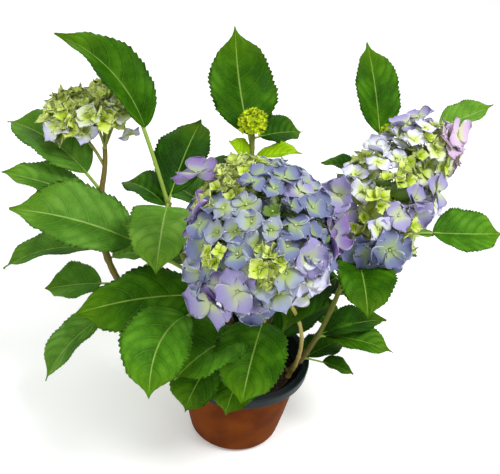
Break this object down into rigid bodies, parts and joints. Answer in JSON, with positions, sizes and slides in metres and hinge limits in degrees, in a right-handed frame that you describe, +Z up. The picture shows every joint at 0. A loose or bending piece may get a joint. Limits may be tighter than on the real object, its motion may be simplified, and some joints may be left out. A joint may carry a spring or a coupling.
{
  "type": "potted hydrangea",
  "caption": "Mophead hydrangea shrub in bloom in a nursery pot standing in a terracotta pot: canes, broad toothed leaves and round lavender flower heads.",
  "frame": {"origin": "centre of the pot's flat underside", "axes": "+Z up; +X to the plant's right and -Y towards its front, the side the big flower head faces"},
  "size_m": [0.5367, 0.3649, 0.4045],
  "materials": {
    "pot": "matte",
    "nursery_pot": "satin",
    "compost": "matte",
    "cane": "matte",
    "leaf": "satin",
    "bloom": "matte",
    "bud": "matte"
  },
  "bodies": {
    "root": {"pot": "pot", "nursery_pot": "nursery_pot", "compost": "compost", "cane_left": "cane", "cane_midleft": "cane", "cane_main": "cane", "cane_centre": "cane", "cane_right": "cane", "cane_rightback": "cane", "cane_frontleft": "cane", "cane_front": "cane", "cane_backright": "cane", "cane_backleft": "cane", "leaves_left_low": "leaf", "leaves_left_mid": "leaf", "leaves_left_top": "leaf", "leaves_midleft_low": "leaf", "leaves_midleft_top": "leaf", "leaves_centre_low": "leaf", "leaves_centre_top": "leaf", "leaves_right_low": "leaf", "leaves_right_top": "leaf", "leaves_rightback_mid": "leaf", "leaves_rightback_top": "leaf", "leaves_frontleft_low": "leaf", "leaves_frontleft_top": "leaf", "leaves_front_low": "leaf", "leaves_front_top": "leaf", "leaves_backright_low": "leaf", "leaves_backright_top": "leaf", "leaves_backleft_low": "leaf", "leaves_backleft_top": "leaf", "head_main": "bloom", "head_right": "bloom", "head_left": "bloom", "bud_centre": "bud", "bud_rightback": "bud"}
  },
  "joints": []
}
